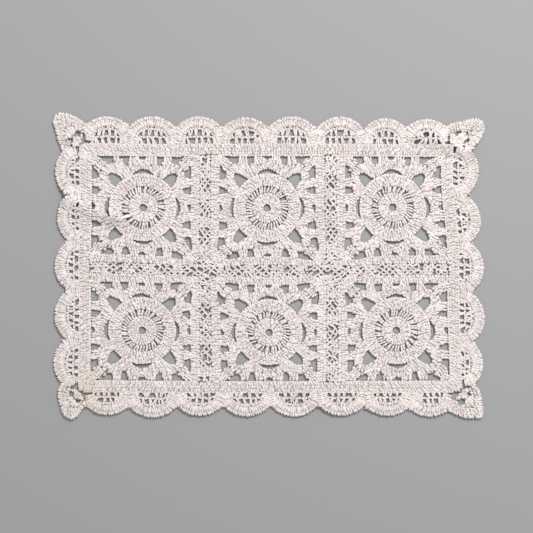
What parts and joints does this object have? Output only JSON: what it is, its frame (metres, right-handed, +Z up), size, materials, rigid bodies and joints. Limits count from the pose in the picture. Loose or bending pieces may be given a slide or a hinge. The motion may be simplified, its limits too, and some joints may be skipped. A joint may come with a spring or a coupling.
{
  "type": "crochet patch mat",
  "caption": "Rectangular crocheted lace mat of joined square motifs with openwork rings, a solid band and a scalloped edging with ear-like corners, lying flat.",
  "frame": {"origin": "middle of the mat's outline on its underside", "axes": "+X along the long side, +Y along the short side, +Z up out of the surface the mat lies on"},
  "size_m": [0.4334, 0.308, 0.0024],
  "materials": {
    "motif_yarn": "matt off-white cotton yarn",
    "mesh_yarn": "matt off-white cotton yarn, worked open",
    "band_yarn": "matt off-white cotton yarn",
    "edging_yarn": "matt off-white cotton yarn"
  },
  "bodies": {
    "root": {"motif_bottom_left": "motif_yarn", "motif_bottom_middle": "motif_yarn", "motif_bottom_right": "motif_yarn", "mesh_bottom_left": "mesh_yarn", "mesh_bottom_right": "mesh_yarn", "motif_top_left": "motif_yarn", "motif_top_middle": "motif_yarn", "motif_top_right": "motif_yarn", "mesh_top_left": "mesh_yarn", "mesh_top_right": "mesh_yarn", "mesh_long": "mesh_yarn", "band": "band_yarn", "edging": "edging_yarn"}
  },
  "joints": []
}
